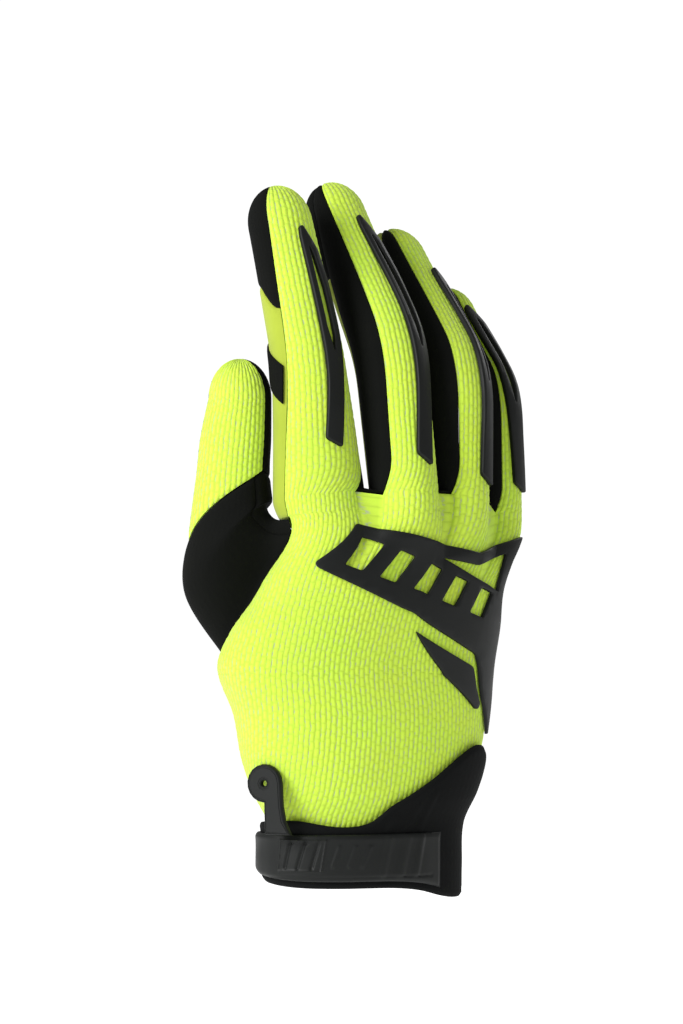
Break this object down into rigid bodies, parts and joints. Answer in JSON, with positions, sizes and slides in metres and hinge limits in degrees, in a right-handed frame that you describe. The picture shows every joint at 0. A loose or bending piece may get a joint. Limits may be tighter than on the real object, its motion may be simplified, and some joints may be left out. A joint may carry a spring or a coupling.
{
  "type": "motocross glove",
  "caption": "Right-hand motocross glove with a knit back, suede palm, moulded rubber finger guards, a vented hand plate and a strapped neoprene cuff.",
  "frame": {"origin": "centre of the wrist opening, at the level of the cuff's lower edge on its two sides", "axes": "+Z from the wrist to the fingertips, -Y out of the back of the hand, -X towards the thumb"},
  "size_m": [0.1195, 0.0707, 0.2418],
  "materials": {
    "fluorescent_knit": "fluorescent yellow-green raised knit",
    "yellow_suede": "smooth synthetic suede",
    "black_stretch": "matte stretch fabric",
    "black_rubber": "satin moulded rubber",
    "black_neoprene": "matte neoprene"
  },
  "bodies": {
    "root": {"back_panel": "fluorescent_knit", "palm_panel": "yellow_suede", "index_tip": "black_stretch", "middle_tip": "black_stretch", "index_band": "black_stretch", "fourchette_index_middle": "black_stretch", "fourchette_middle_ring": "black_stretch", "fourchette_ring_little": "black_stretch", "thumb_back": "fluorescent_knit", "thumb_palm": "black_stretch", "thumb_crotch": "black_stretch", "thumb_gusset": "black_stretch", "guard_index": "black_rubber", "guard_middle": "black_rubber", "guard_ring": "black_rubber", "guard_little": "black_rubber", "hand_plate": "black_rubber", "hand_shard": "black_rubber", "cuff_band": "black_neoprene", "cuff_strap": "black_rubber", "pull_tab": "black_rubber"}
  },
  "joints": []
}
